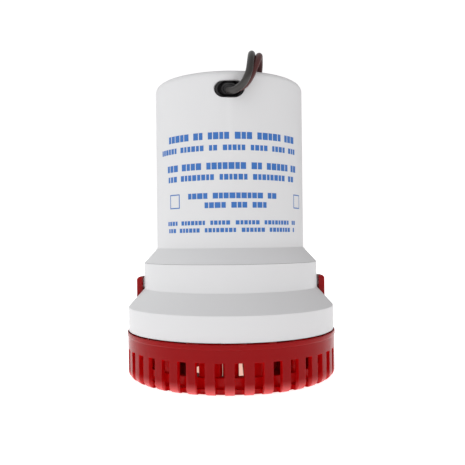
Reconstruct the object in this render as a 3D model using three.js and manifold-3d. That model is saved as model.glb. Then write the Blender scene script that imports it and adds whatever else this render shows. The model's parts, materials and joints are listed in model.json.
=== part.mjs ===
// A submersible bilge pump for a boat: white motor housing and volute on a red snap-off strainer,
// with its motor, rotor, impeller, seals, screws, latches and two supply leads as separate solids.
// Millimetres, +Z up. The origin is the centre of the strainer's underside, and the discharge
// nozzle points along +Y.
import * as THREE from 'three';
import { mergeVertices } from 'three/addons/utils/BufferGeometryUtils.js';
import Module from 'manifold-3d';

const wasm = await Module();
wasm.setup();

// ---------------------------------------------------------------- driving dimensions
const GAP = 0.3; // clearance kept between neighbouring solids
const SEGMENTS = 24; // sides of a round piece
const SHELL_SEGMENTS = 36; // sides of the large shells

const HEIGHT = 149.1; // top of the motor cap
const CAP_R = 38.4; // motor cap, outside
const CAP_WALL = 2.5;
const CAP_ROOF = 2.6;
const CAP_CORNER = 3.2; // radius of the cap's top edge
const MID_R = 45.2; // middle section of the pump body
const SKIRT_R = 53.5; // skirt of the pump body
const SHELL_WALL = 2.5;
const FLARE1_TOP = 65.6; // the cap's flare, top and bottom
const FLARE1_BOTTOM = 58.2;
const FLARE2_TOP = 45.0; // the body's flare, top and bottom
const FLARE2_BOTTOM = 35.7;

const STRAINER = { r: 53.9, lipR: 54.2, lipHeight: 2.4, height: 23.3, wall: 2.3, floor: 2.2, fillet: 3.6 };
const SLOT = { count: 38, width: 4.4, top: 14.9, innerR: 49.5, phase: 3.8 };
const POST = { count: 12, r: 42.7, depth: 3.8, width: 10.2, phase: -13.2 };
const PILLAR = { count: 4, r: 40.8, outerR: 3.7, holeR: 2.2, phase: -0.5 };
const SEAT_RING = { inner: 44.1, outer: 46.5, top: 6.9 };
const GRATE = { r: 22, bars: 5, pitch: 6.7, barWidth: 1.5 }; // the open floor under the intake collar

const LATCH = { inner: 45.9, outer: 49.0, width: 11.4, top: 50.9, pivotZ: 11, chamfer: 1.1 };
const LATCH_FOOT_R = (LATCH.outer - LATCH.inner) / 2;
const NOSE = { bottom: 31.5, edge: 1, top: 35.5, depth: 0.75 }; // the catch on each latch
const LATCH_CHANNEL = { inner: 42.5, outer: 50.2, halfWidth: 6.6, top: 52.4 };

const BODY_BOTTOM = STRAINER.height + GAP;
const PLATE_TOP = 26.0; // top of the inlet plate
const CORE_R = 42.2; // the block that holds the volute chamber
const CEILING = 44.0; // the volute chamber's ceiling
const DECK = 46.5; // top of the wall between water and motor
const LEDGE_TOP = 53.6; // the ledge that the cap's O-ring lies on
const CHAMBER = { startR: 31, growth: 7, startDeg: 50, endY: 31 };
const LEDGE = { inner: 40.2, underInner: 50.2, underOuter: 49.6 }; // its bore and its sloped underside
const SEAL_POCKET = { bore: 4, floor: 47.6, inner: 8, outer: 10.5, top: 54 };

const NOZZLE = {
  x: 27.5, z: 39.5, bossR: 14.0, bossStart: 26, bossEnd: 56, flangeR: 15, flangeTop: 59,
  spigotR: 12, spigotStart: 31, boreStart: 30, boreR: 11, length: 98,
};
const BARB = { root: 13.4, crest: 14.6, count: 3, first: 66, pitch: 9.5, length: 8 };

const EYE_R = 14; // the inlet plate's eye
const COLLAR = { inner: 21.5, outer: 24, bottom: 2.8, portTop: 15, ports: 8, portDeg: 25.7, phase: 2.4 };
const PLATE_SCREWS_DEG = [95, 165, 235, 305];
const PLATE_SCREW_R = 39.5;
const PILOT_R = 1.8; // holes for screws and bolts

const SHAFT_R = 3;
const BORE_R = SHAFT_R + GAP;
const IMPELLER = { r: 28.8, vanes: 6, vaneBottom: 28.2, discBottom: 40.2, discTop: 42, hubR: 6.5 };
const MOTOR = { r: 33, wall: 1.8, bottom: 58.3, bellThickness: 2.5, canTop: 122 };
const ARMATURE = { r: 25.2, bottom: 70, top: 104, slots: 12, slotWidth: 4, slotInner: 12, slotOuter: 22.6 };
const MAGNET = { inner: 26.2, outer: 30.8, bottom: 67, top: 107, spanDeg: 128 };
const COMMUTATOR = { r: 9, bottom: 111.5, top: 121 };
const BOLT_R = 28.5; // distance of the motor's through bolts from the axis
const FEET_DEG = [0, 120, 240]; // the motor stands on three feet
const FOOT_R = 27;

const GROMMET = { x: 0.25, z: 140.1, length: 13.9, height: 7.5 };
const LEAD_D = 3.3;
const COIL = { x: -31, y: 82.5, inner: 10.2, outer: 27.8, bottom: 0.9, top: 7.7 };

// ---------------------------------------------------------------- materials
const finish = (color, roughness, metalness) =>
  new THREE.MeshStandardMaterial({ color, roughness, metalness });
const plastic = (color, roughness = 0.45) => finish(color, roughness, 0);
const metal = (color, roughness = 0.35) => finish(color, roughness, 0.9);
const HOUSING_WHITE = plastic(0xdcdcdc);
const STRAINER_RED = plastic(0x9b1e23, 0.4);
const RUBBER_BLACK = plastic(0x1a1a1a, 0.7);
const IMPELLER_WHITE = plastic(0xe6e2d6);
const STEEL = metal(0xa9adb1);
const LAMINATION = metal(0x5f6266, 0.6);
const FERRITE = plastic(0x3a3836, 0.6);
const COPPER = metal(0xb06a3a);
const BRONZE = metal(0x9a7440);
const CARBON = plastic(0x2b2b2d, 0.7);
const PHENOLIC = plastic(0x4a3020, 0.6);
const CERAMIC = plastic(0xb5773a, 0.4);
const LEAD_BLACK = plastic(0x141414, 0.5);
const LEAD_BROWN = plastic(0x4a1f1a, 0.5);
const TIE_NYLON = plastic(0xd8d6cf, 0.5);
const TIN = metal(0xc4b8a8);

// ---------------------------------------------------------------- geometry helpers
const rad = THREE.MathUtils.degToRad;
const at = (r, deg) => [r * Math.cos(rad(deg)), r * Math.sin(rad(deg))];

// Front is -Y, so an angle from the front turns towards +X as it grows.
const fromFront = (deg) => deg - 90;

function toSolid(geometry) {
  const bare = geometry.clone();
  bare.deleteAttribute('normal');
  bare.deleteAttribute('uv');
  const merged = mergeVertices(bare, 1e-4);
  const mesh = new wasm.Mesh({
    numProp: 3,
    vertProperties: new Float32Array(merged.attributes.position.array),
    triVerts: new Uint32Array(merged.index.array),
  });
  return new wasm.Manifold(mesh);
}

function toGeometry(solid) {
  const mesh = solid.getMesh();
  const geometry = new THREE.BufferGeometry();
  geometry.setAttribute('position', new THREE.BufferAttribute(new Float32Array(mesh.vertProperties), 3));
  geometry.setIndex(new THREE.BufferAttribute(new Uint32Array(mesh.triVerts), 1));
  return geometry;
}

// A body of revolution about Z. Profile points are [radius, z], counterclockwise with R to the
// right and Z up. The profile closes on itself unless it starts and ends on the axis.
function lathe(profile, segments = SEGMENTS) {
  const closed = profile[0][0] === 0 ? profile : [...profile, profile[0]];
  const points = closed.map(([r, z]) => new THREE.Vector2(r, z));
  return new THREE.LatheGeometry(points, segments).rotateX(Math.PI / 2);
}

const ring = (inner, outer, bottom, top, segments = SEGMENTS) =>
  lathe([[inner, bottom], [outer, bottom], [outer, top], [inner, top]], segments);

const disc = (r, bottom, top, segments = SEGMENTS) =>
  lathe([[0, bottom], [r, bottom], [r, top], [0, top]], segments);

function box([x0, y0, z0], [x1, y1, z1]) {
  const geometry = new THREE.BoxGeometry(x1 - x0, y1 - y0, z1 - z0);
  return geometry.translate((x0 + x1) / 2, (y0 + y1) / 2, (z0 + z1) / 2);
}

// A prism with a flat outline in X and Y, from z = bottom to z = top.
function prism(outline, bottom, top) {
  const shape = new THREE.Shape(outline.map(([x, y]) => new THREE.Vector2(x, y)));
  const options = { depth: top - bottom, bevelEnabled: false, steps: 1 };
  return new THREE.ExtrudeGeometry(shape, options).translate(0, 0, bottom);
}

const alongY = (geometry, x, y, z) => geometry.rotateX(-Math.PI / 2).translate(x, y, z);

const sum = (first, ...rest) => rest.reduce((solid, next) => solid.add(toSolid(next)), toSolid(first));
const minus = (solid, ...cuts) => cuts.reduce((left, cut) => left.subtract(toSolid(cut)), solid);

// Quarter-circle corner points about (cr, cz), from angle a to angle b in degrees.
function corner(cr, cz, radius, a, b, steps = 3) {
  return Array.from({ length: steps + 1 }, (_, i) => {
    const angle = rad(a + ((b - a) * i) / steps);
    return [cr + radius * Math.cos(angle), cz + radius * Math.sin(angle)];
  });
}

const assembly = new THREE.Group();

function piece(name, shape, material) {
  const geometry = shape.isBufferGeometry ? toGeometry(toSolid(shape)) : toGeometry(shape);
  const mesh = new THREE.Mesh(geometry, material);
  mesh.name = name;
  assembly.add(mesh);
  return mesh;
}

// ---------------------------------------------------------------- strainer
function strainerBasket() {
  const { r, lipR, lipHeight, height, wall, floor, fillet } = STRAINER;
  const inner = r - wall;
  const profile = [
    [0, 0],
    ...corner(r - fillet, fillet, fillet, -90, 0, 2),
    [r, height - lipHeight],
    [lipR, height - lipHeight + 0.4],
    [lipR, height],
    [inner, height],
    [inner, floor],
    [0, floor],
  ];
  // one flat side per slot, turned so that each slot lies in the middle of its side
  const turn = rad(SLOT.phase + 180 / SLOT.count);
  const wallAndFloor = lathe(profile, SLOT.count).rotateZ(turn);
  let basket = sum(wallAndFloor, ring(SEAT_RING.inner, SEAT_RING.outer, 1, SEAT_RING.top));

  for (let i = 0; i < SLOT.count; i++) {
    const deg = fromFront(SLOT.phase + (360 / SLOT.count) * i);
    const cut = box([SLOT.innerR, -SLOT.width / 2, -1], [r + 3, SLOT.width / 2, SLOT.top]);
    basket = minus(basket, cut.rotateZ(rad(deg)));
  }
  const bars = Array.from({ length: GRATE.bars }, (_, i) => {
    const x = (i - (GRATE.bars - 1) / 2) * GRATE.pitch;
    const half = GRATE.barWidth / 2;
    return box([x - half, -GRATE.r - 1, -2], [x + half, GRATE.r + 1, floor + 2]);
  });
  const opening = toSolid(disc(GRATE.r, -1, floor + 1, SHELL_SEGMENTS));
  basket = basket.subtract(minus(opening, ...bars));
  for (let i = 0; i < POST.count; i++) {
    const deg = fromFront(POST.phase + (360 / POST.count) * i);
    const low = [POST.r - POST.depth / 2, -POST.width / 2, 1];
    const high = [POST.r + POST.depth / 2, POST.width / 2, height];
    basket = basket.add(toSolid(box(low, high).rotateZ(rad(deg))));
  }
  for (let i = 0; i < PILLAR.count; i++) {
    const [x, y] = at(PILLAR.r, fromFront(PILLAR.phase + (360 / PILLAR.count) * i));
    basket = basket.add(toSolid(disc(PILLAR.outerR, 1, height - 0.8, 12).translate(x, y, 0)));
    basket = minus(basket, disc(PILLAR.holeR, -1, height + 1, 12).translate(x, y, 0));
  }
  for (const side of [-1, 1]) {
    const footTop = LATCH.pivotZ - LATCH_FOOT_R - GAP;
    const foot = box([LATCH.inner - 1, -LATCH.width / 2, 1], [LATCH.outer - 0.2, LATCH.width / 2, footTop]);
    basket = basket.add(toSolid(foot.rotateZ(side > 0 ? 0 : Math.PI)));
  }
  return basket;
}

piece('strainer_basket', strainerBasket(), STRAINER_RED);

// A latch is a springy arm that stands on the strainer, passes up through the housing's flare and
// ends in a press tab. Its outline is drawn in radius and height and has a round foot.
function latchArm(side) {
  const mid = (LATCH.inner + LATCH.outer) / 2;
  const outline = [
    ...corner(mid, LATCH.pivotZ, LATCH_FOOT_R, -180, 0, 6),
    [LATCH.outer, NOSE.bottom],
    [LATCH.outer + NOSE.depth, NOSE.bottom],
    [LATCH.outer + NOSE.depth, NOSE.bottom + NOSE.edge],
    [LATCH.outer, NOSE.top],
    [LATCH.outer, LATCH.top - LATCH.chamfer],
    [LATCH.outer - LATCH.chamfer, LATCH.top],
    [LATCH.inner, LATCH.top],
  ];
  const arm = prism(outline, -LATCH.width / 2, LATCH.width / 2).rotateX(Math.PI / 2);
  return side > 0 ? arm : arm.rotateZ(Math.PI);
}

piece('latch_left', latchArm(-1), STRAINER_RED);
piece('latch_right', latchArm(1), STRAINER_RED);

// ---------------------------------------------------------------- pump body and wet end
// The chamber's outline grows from the tongue round to the outlet, then runs straight along +Y.
function chamberOutline() {
  const steps = 15;
  const sweep = 360 - CHAMBER.startDeg;
  const spiral = Array.from({ length: steps + 1 }, (_, i) => {
    const t = i / steps;
    return at(CHAMBER.startR + CHAMBER.growth * t, CHAMBER.startDeg + sweep * t);
  });
  const [tongueX] = spiral[0];
  const outerR = CHAMBER.startR + CHAMBER.growth;
  return [...spiral, [outerR, CHAMBER.endY], [tongueX, CHAMBER.endY]];
}

function pumpBody() {
  const wallR = MID_R - SHELL_WALL;
  const shell = lathe([
    [SEAL_POCKET.bore, PLATE_TOP + GAP],
    [CORE_R, PLATE_TOP + GAP],
    [CORE_R, FLARE2_TOP - 0.8],
    [SKIRT_R - SHELL_WALL, FLARE2_BOTTOM - 1.3],
    [SKIRT_R - SHELL_WALL, BODY_BOTTOM],
    [SKIRT_R - 0.3, BODY_BOTTOM],
    [SKIRT_R, BODY_BOTTOM + 0.3],
    [SKIRT_R, FLARE2_BOTTOM - 0.5],
    [SKIRT_R - 0.4, FLARE2_BOTTOM + 0.2],
    [MID_R, FLARE2_TOP],
    [MID_R, FLARE1_BOTTOM - GAP],
    [wallR, FLARE1_BOTTOM - GAP],
    [wallR, LEDGE_TOP],
    [LEDGE.inner, LEDGE_TOP],
    [LEDGE.inner, LEDGE.underInner],
    [wallR, LEDGE.underOuter],
    [wallR, DECK],
    [SEAL_POCKET.outer, DECK],
    [SEAL_POCKET.outer, SEAL_POCKET.top],
    [SEAL_POCKET.inner, SEAL_POCKET.top],
    [SEAL_POCKET.inner, SEAL_POCKET.floor],
    [SEAL_POCKET.bore, SEAL_POCKET.floor],
  ], SHELL_SEGMENTS);
  const bossLength = NOZZLE.bossEnd - NOZZLE.bossStart;
  const boss = alongY(disc(NOZZLE.bossR, 0, bossLength), NOZZLE.x, NOZZLE.bossStart, NOZZLE.z);
  const foot = (deg) => disc(4, DECK - 1, MOTOR.bottom - GAP, 10).translate(...at(FOOT_R, deg), 0);
  let body = sum(shell, boss, ...FEET_DEG.map(foot));
  for (const side of [-1, 1]) {
    const turn = side > 0 ? 0 : Math.PI;
    const backing = box([LEDGE.inner + 0.3, -8.6, CEILING], [MID_R - 1.2, 8.6, LEDGE_TOP]).rotateZ(turn);
    body = body.add(toSolid(backing));
  }
  // keep the boss clear of the strainer's rim and of the inlet plate
  body = minus(body, disc(CORE_R, 10, PLATE_TOP + GAP, SHELL_SEGMENTS), disc(70, 10, BODY_BOTTOM, 8));
  for (const side of [-1, 1]) {
    const { inner, outer, halfWidth, top } = LATCH_CHANNEL;
    const channel = box([inner, -halfWidth, 10], [outer, halfWidth, top]);
    body = minus(body, channel.rotateZ(side > 0 ? 0 : Math.PI));
  }
  body = minus(body, prism(chamberOutline(), 20, CEILING));
  const bore = disc(NOZZLE.spigotR + GAP, 0, bossLength);
  body = minus(body, alongY(bore, NOZZLE.x, NOZZLE.boreStart, NOZZLE.z));
  for (const deg of PLATE_SCREWS_DEG) {
    body = minus(body, disc(PILOT_R, 20, 38, 8).translate(...at(PLATE_SCREW_R, deg), 0));
  }
  for (const deg of FEET_DEG) {
    body = minus(body, disc(PILOT_R, 50, 70, 8).translate(...at(FOOT_R, deg), 0));
  }
  return body;
}

piece('pump_body', pumpBody(), HOUSING_WHITE);

// The nozzle is a barbed tube with a flange, drawn along its own axis from the spigot outward.
function dischargeNozzle() {
  const { spigotR, spigotStart, flangeR, flangeTop, boreR, length } = NOZZLE;
  const flangeBottom = NOZZLE.bossEnd + GAP;
  const throatR = spigotR - 1.6;
  const barbs = Array.from({ length: BARB.count }, (_, i) => {
    const y = BARB.first + BARB.pitch * i;
    return [[BARB.root, y], [BARB.crest, y], [BARB.root, y + BARB.length]];
  });
  const profile = [
    [throatR, spigotStart],
    [spigotR, spigotStart],
    [spigotR, flangeBottom],
    [flangeR, flangeBottom],
    [flangeR, flangeTop],
    [BARB.root, flangeTop],
    ...barbs.flat(),
    [BARB.root - 0.6, length],
    [boreR, length],
    [boreR, flangeTop],
    [throatR, flangeBottom],
  ];
  return alongY(lathe(profile), NOZZLE.x, 0, NOZZLE.z);
}

piece('discharge_nozzle', dischargeNozzle(), HOUSING_WHITE);

function inletPlate() {
  let plate = sum(
    ring(EYE_R, CORE_R - 0.2, BODY_BOTTOM, PLATE_TOP, SHELL_SEGMENTS),
    ring(COLLAR.inner, COLLAR.outer, COLLAR.bottom, BODY_BOTTOM + 1),
  );
  for (let i = 0; i < COLLAR.ports; i++) {
    const deg = fromFront(COLLAR.phase + (360 / COLLAR.ports) * i);
    const half = COLLAR.outer * Math.tan(rad(COLLAR.portDeg / 2));
    const port = box([COLLAR.inner - 3, -half, 0], [COLLAR.outer + 3, half, COLLAR.portTop]);
    plate = minus(plate, port.rotateZ(rad(deg)));
  }
  for (const deg of PLATE_SCREWS_DEG) {
    const recess = lathe([[0, 20], [3.4, 20], [3.4, 24.1], [1.8, 25.5], [1.8, 30], [0, 30]], 8);
    plate = minus(plate, recess.translate(...at(PLATE_SCREW_R, deg), 0));
  }
  return plate;
}

piece('inlet_plate', inletPlate(), IMPELLER_WHITE);

PLATE_SCREWS_DEG.forEach((deg, i) => {
  const screw = lathe([[0, 23.7], [3, 23.7], [3, 24.2], [1.5, 25.6], [1.5, 36], [0, 37]], 8);
  piece(`inlet_plate_screw_${i + 1}`, screw.translate(...at(PLATE_SCREW_R, deg), 0), STEEL);
});

function impeller() {
  const { r, vanes, vaneBottom, discBottom, discTop, hubR } = IMPELLER;
  let wheel = sum(
    ring(BORE_R, r, discBottom, discTop),
    ring(BORE_R, hubR, 31, discTop, 24),
  );
  for (let i = 0; i < vanes; i++) {
    const side = (offset) => Array.from({ length: 7 }, (_, k) => {
      const t = k / 6;
      return at(5.5 + (r - 5.7) * t, (360 / vanes) * i - 62 * t + offset / (0.12 + t));
    });
    const outline = [...side(-2), ...side(2).reverse()];
    wheel = wheel.add(toSolid(prism(outline, vaneBottom, discBottom + 0.5)));
  }
  return minus(wheel, disc(BORE_R, 20, 50, 24));
}

piece('impeller', impeller(), IMPELLER_WHITE);
const nutBlank = lathe([[0, 26.9], [3.6, 26.9], [5.2, 28.4], [5.2, 30.7], [0, 30.7]], 6);
piece('impeller_nut', minus(toSolid(nutBlank), disc(BORE_R, 28.7, 31, 24)), BRONZE);

// ---------------------------------------------------------------- seals
piece('shaft_seal', ring(BORE_R, 7.7, 48, 53), RUBBER_BLACK);
piece('seal_retainer', ring(4.2, 10.4, 54.3, 55.2), STEEL);
piece('cap_o_ring', lathe(corner(41.4, LEDGE_TOP + 1.2, 0.9, 0, 300, 5)), RUBBER_BLACK);

// ---------------------------------------------------------------- motor
const bellTop = MOTOR.bottom + MOTOR.bellThickness;
const canBottom = bellTop + GAP;

const boltHoles = () => [90, 270].map((deg) => disc(1.9, 40, 140, 8).translate(...at(BOLT_R, deg), 0));

function lowerBell() {
  const plate = sum(ring(6.6, MOTOR.r, MOTOR.bottom, bellTop), ring(6.6, 8.8, 56.5, 63));
  const screwHoles = FEET_DEG.map((deg) => disc(PILOT_R, 50, 70, 8).translate(...at(FOOT_R, deg), 0));
  return minus(plate, ...boltHoles(), ...screwHoles);
}

function upperBell() {
  const bottom = MOTOR.canTop + GAP;
  const plate = sum(ring(6.6, MOTOR.r, bottom, bottom + 3), ring(6.6, 8.8, bottom, 130));
  return minus(plate, ...boltHoles());
}

piece('motor_can', ring(MOTOR.r - MOTOR.wall, MOTOR.r, canBottom, MOTOR.canTop), STEEL);
piece('lower_end_bell', lowerBell(), PHENOLIC);
piece('upper_end_bell', upperBell(), PHENOLIC);
piece('lower_bearing', ring(BORE_R, 6.2, 57, 63, 20), BRONZE);
piece('upper_bearing', ring(BORE_R, 6.2, 124, 129.6, 20), BRONZE);

function arcSector(inner, outer, midDeg, spanDeg, bottom, top, steps = 14) {
  const edge = (r) => Array.from({ length: steps + 1 }, (_, i) =>
    at(r, midDeg - spanDeg / 2 + (spanDeg * i) / steps));
  return prism([...edge(outer), ...edge(inner).reverse()], bottom, top);
}

const { inner: magnetInner, outer: magnetOuter, spanDeg, bottom: magnetBottom, top: magnetTop } = MAGNET;
const magnet = (deg) => arcSector(magnetInner, magnetOuter, deg, spanDeg, magnetBottom, magnetTop);
piece('magnet_left', magnet(180), FERRITE);
piece('magnet_right', magnet(0), FERRITE);

[90, 270].forEach((deg, i) => {
  const bolt = lathe([[0, 56.4], [3, 56.4], [3, 58], [1.5, 58], [1.5, 128], [0, 128]], 8);
  piece(`through_bolt_${i + 1}`, bolt.translate(...at(BOLT_R, deg), 0), STEEL);
});

FEET_DEG.forEach((deg, i) => {
  const headBottom = bellTop + GAP;
  const screw = lathe([[0, 51], [1.5, 52], [1.5, headBottom], [3, headBottom], [3, 63], [0, 63]], 8);
  piece(`motor_screw_${i + 1}`, screw.translate(...at(FOOT_R, deg), 0), STEEL);
});

// ---------------------------------------------------------------- rotor
piece('shaft', lathe([[0, 29], [SHAFT_R, 29], [SHAFT_R, 130.5], [0, 131]], 20), STEEL);

function armatureCore() {
  const { r, bottom, top, slots, slotWidth, slotInner } = ARMATURE;
  let core = toSolid(ring(BORE_R, r, bottom, top));
  for (let i = 0; i < slots; i++) {
    const slot = box([slotInner, -slotWidth / 2, 60], [slotInner + 11, slotWidth / 2, 110]);
    const mouth = box([slotInner + 10, -0.9, 60], [r + 1, 0.9, 110]);
    core = minus(core, slot.rotateZ(rad((360 / slots) * i)), mouth.rotateZ(rad((360 / slots) * i)));
  }
  return core;
}

// The copper winding is one body: a bundle at each end, joined by a bar in every slot.
function armatureWinding() {
  const { bottom, top, slots, slotWidth, slotInner, slotOuter } = ARMATURE;
  const endTurns = (near, far) => {
    const zs = [Math.min(near, far), Math.max(near, far)];
    return lathe([[8.5, zs[0]], [21, zs[0]], [23, (zs[0] + zs[1]) / 2], [21, zs[1]], [8.5, zs[1]]]);
  };
  let winding = sum(endTurns(bottom - GAP, bottom - 6), endTurns(top + GAP, top + 6));
  for (let i = 0; i < slots; i++) {
    const low = [slotInner + 0.4, -slotWidth / 2 + 0.4, bottom - 2];
    const bar = box(low, [slotOuter, slotWidth / 2 - 0.4, top + 2]);
    winding = winding.add(toSolid(bar.rotateZ(rad((360 / slots) * i))));
  }
  return winding;
}

function commutator() {
  const { r, bottom, top } = COMMUTATOR;
  let drum = toSolid(ring(BORE_R, r, bottom, top, 24));
  for (let i = 0; i < ARMATURE.slots; i++) {
    const groove = box([r - 0.8, -0.3, bottom + 1.5], [r + 1, 0.3, top + 1]);
    drum = minus(drum, groove.rotateZ(rad((360 / ARMATURE.slots) * (i + 0.5))));
  }
  return drum;
}

piece('armature_core', armatureCore(), LAMINATION);
piece('armature_winding', armatureWinding(), COPPER);
piece('commutator', commutator(), COPPER);
piece('lower_thrust_washer', ring(BORE_R, 6, 63.4, 63.9, 20), STEEL);
piece('upper_thrust_washer', ring(BORE_R, 5.8, 122.6, 123.4, 20), STEEL);

// ---------------------------------------------------------------- brushes
const BRUSH = { inner: COMMUTATOR.r + GAP, outer: 18, halfWidth: 2.6, bottom: 113.6, top: 119.2 };
const SPRING = { inner: 1.2, outer: 2.2, length: 4.2, play: 2.1 }; // play is the brush's free travel

for (const [side, name] of [[-1, 'left'], [1, 'right']]) {
  const turn = side > 0 ? 0 : Math.PI;
  const { inner, outer, halfWidth, bottom, top } = BRUSH;
  const shell = box([inner + 1.6, -halfWidth - 1.3, bottom - 1.3], [26, halfWidth + 1.3, MOTOR.canTop]);
  const hollow = box([0, -halfWidth - GAP, bottom - GAP], [24.7, halfWidth + GAP, top + GAP]);
  const holder = minus(toSolid(shell), hollow);
  const brush = box([inner, -halfWidth, bottom], [outer, halfWidth, top]);
  // the coil spring behind the brush is drawn as the plain sleeve that its turns would fill
  const spring = ring(SPRING.inner, SPRING.outer, 0, SPRING.length, 12).rotateY(Math.PI / 2);
  spring.translate(outer + SPRING.play, 0, (bottom + top) / 2);
  piece(`brush_holder_${name}`, toGeometry(holder).rotateZ(turn), BRONZE);
  piece(`brush_${name}`, brush.rotateZ(turn), CARBON);
  piece(`brush_spring_${name}`, spring.rotateZ(turn), STEEL);
}

piece('suppression_capacitor', lathe([
  [0, 0], [4.2, 0], [5, 0.8], [5, 2.4], [4.2, 3.2], [0, 3.2],
], 20).rotateY(Math.PI / 2).translate(-1.6, 16, 131.3), CERAMIC);

// ---------------------------------------------------------------- motor cap and grommet
function stadium(length, height) {
  const half = (length - height) / 2;
  const r = height / 2;
  return [...corner(half, 0, r, -90, 90, 6), ...corner(-half, 0, r, 90, 270, 6)];
}

// A stadium-shaped plug through the cap's front wall, from y0 (outside) to y1 (inside).
function frontPlug(length, height, y0, y1) {
  const plug = prism(stadium(length, height), -y1, -y0);
  return plug.rotateX(Math.PI / 2).translate(GROMMET.x, 0, GROMMET.z);
}

function motorCap() {
  const innerR = CAP_R - CAP_WALL;
  const spigotR = MID_R - SHELL_WALL - GAP;
  const spigotEnd = LEDGE_TOP + 2.4;
  const roof = HEIGHT - CAP_ROOF;
  const shell = lathe([
    [0, roof],
    [innerR - 1.5, roof],
    [innerR, roof - 1.5],
    [innerR, FLARE1_TOP - 1],
    [LEDGE.inner, FLARE1_BOTTOM + 2],
    [LEDGE.inner, spigotEnd],
    [spigotR, spigotEnd],
    [spigotR, FLARE1_BOTTOM],
    [MID_R - 0.2, FLARE1_BOTTOM],
    [MID_R, FLARE1_BOTTOM + 0.3],
    [CAP_R, FLARE1_TOP],
    ...corner(CAP_R - CAP_CORNER, HEIGHT - CAP_CORNER, CAP_CORNER, 0, 90),
    [0, HEIGHT],
  ], SHELL_SEGMENTS);
  return minus(toSolid(shell), frontPlug(GROMMET.length, GROMMET.height, -45, -30));
}

piece('motor_cap', motorCap(), HOUSING_WHITE);
piece('grommet', sum(
  frontPlug(GROMMET.length - 0.6, GROMMET.height - 0.6, -37.9, -33.5),
  frontPlug(GROMMET.length + 3, GROMMET.height + 2.4, -34.4, -32.4),
), RUBBER_BLACK);

// ---------------------------------------------------------------- leads
// A round tube of a lead's diameter that follows hand-placed points.
function leadTube(points, steps, diameter = LEAD_D) {
  const knots = points.map((p) => new THREE.Vector3(...p));
  const curve = new THREE.CatmullRomCurve3(knots, false, 'centripetal');
  const outline = corner(0, 0, diameter / 2, 0, 315, 7);
  const section = new THREE.Shape(outline.map((p) => new THREE.Vector2(...p)));
  return new THREE.ExtrudeGeometry(section, { steps, bevelEnabled: false, extrudePath: curve });
}

const LEAD_BLACK_ROUTE = [
  [0.9, -39.3, 139.0], [2.7, -41.7, 138.5], [4.6, -43.9, 139.1], [6.7, -45.2, 140.5],
  [8.2, -45.8, 142.9], [9.4, -45.4, 146.1], [10.0, -44.1, 149.7], [10.4, -42.1, 152.9],
  [10.8, -38.7, 155.7], [11.2, -34.0, 156.8], [11.5, -28.8, 155.9], [11.6, -22.8, 153.4],
  [11.4, -16.0, 151.4], [9.8, -6.0, 151.0], [6.6, 8.0, 151.0], [2.8, 21.0, 151.0],
  [-1.0, 31.6, 151.4], [-3.2, 37.6, 151.2], [-4.6, 41.0, 148.6], [-5.4, 42.0, 142.0],
  [-6.6, 41.8, 124.0], [-8.2, 41.8, 102.0], [-9.4, 43.6, 81.0], [-10.4, 48.2, 62.0],
  [-11.4, 53.4, 46.0], [-12.4, 57.2, 32.0], [-12.8, 59.0, 20.0], [-12.2, 59.8, 10.6],
  [-10.2, 60.9, 4.0],
];
const LEAD_BROWN_ROUTE = [
  [5.0, -39.1, 140.1], [6.3, -40.4, 140.4], [7.7, -41.5, 141.2], [9.0, -42.1, 142.6],
  [10.3, -42.2, 144.7], [11.5, -41.7, 147.5], [12.7, -40.3, 150.6], [13.7, -38.1, 153.6],
  [14.5, -34.8, 156.0], [14.9, -30.2, 156.6], [15.2, -23.4, 153.9], [14.9, -15.6, 151.4],
  [13.3, -5.0, 151.0], [10.0, 9.0, 151.0], [6.2, 22.0, 151.0], [2.4, 32.4, 151.3],
  [0.2, 38.0, 151.0], [-1.2, 41.4, 148.6], [-2.0, 42.4, 142.0], [-3.2, 42.2, 124.0],
  [-4.8, 42.2, 102.0], [-6.0, 44.0, 81.0], [-7.0, 48.6, 62.0], [-8.0, 53.8, 46.0],
  [-9.0, 57.6, 32.0], [-9.4, 59.4, 21.0], [-9.4, 61.0, 13.6], [-8.8, 64.6, 9.8],
];

piece('lead_black_run', leadTube(LEAD_BLACK_ROUTE, 33), LEAD_BLACK);
piece('lead_brown_run', leadTube(LEAD_BROWN_ROUTE, 33), LEAD_BROWN);
const coil = ring(COIL.inner, COIL.outer, COIL.bottom, COIL.top).translate(COIL.x, COIL.y, 0);
piece('lead_coil', coil, LEAD_BLACK);

function coilTie() {
  const wall = 0.6;
  const outer = box([COIL.inner - GAP - wall, -2, 0], [COIL.outer + GAP + wall, 2, COIL.top + GAP + wall]);
  const inner = box([COIL.inner - GAP, -3, wall], [COIL.outer + GAP, 3, COIL.top + GAP]);
  return toGeometry(minus(toSolid(outer), inner)).rotateZ(rad(135)).translate(COIL.x, COIL.y, 0);
}

piece('coil_tie', coilTie(), TIE_NYLON);

// Each lead ends on the floor inside the coil, opposite the other, in a length of bare wire.
const BARE = { r: 1, length: 6, z: LEAD_D / 2, fromCentre: 5, blackDeg: 14, brownDeg: 194 };

function bareEnd(deg) {
  const wire = disc(BARE.r, GAP, GAP + BARE.length, 10).rotateY(Math.PI / 2).rotateZ(rad(90));
  return wire.translate(BARE.fromCentre, 0, 0).rotateZ(rad(deg)).translate(COIL.x, COIL.y, BARE.z);
}

piece('lead_black_end', bareEnd(BARE.blackDeg), TIN);
piece('lead_brown_end', bareEnd(BARE.brownDeg), TIN);

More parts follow.
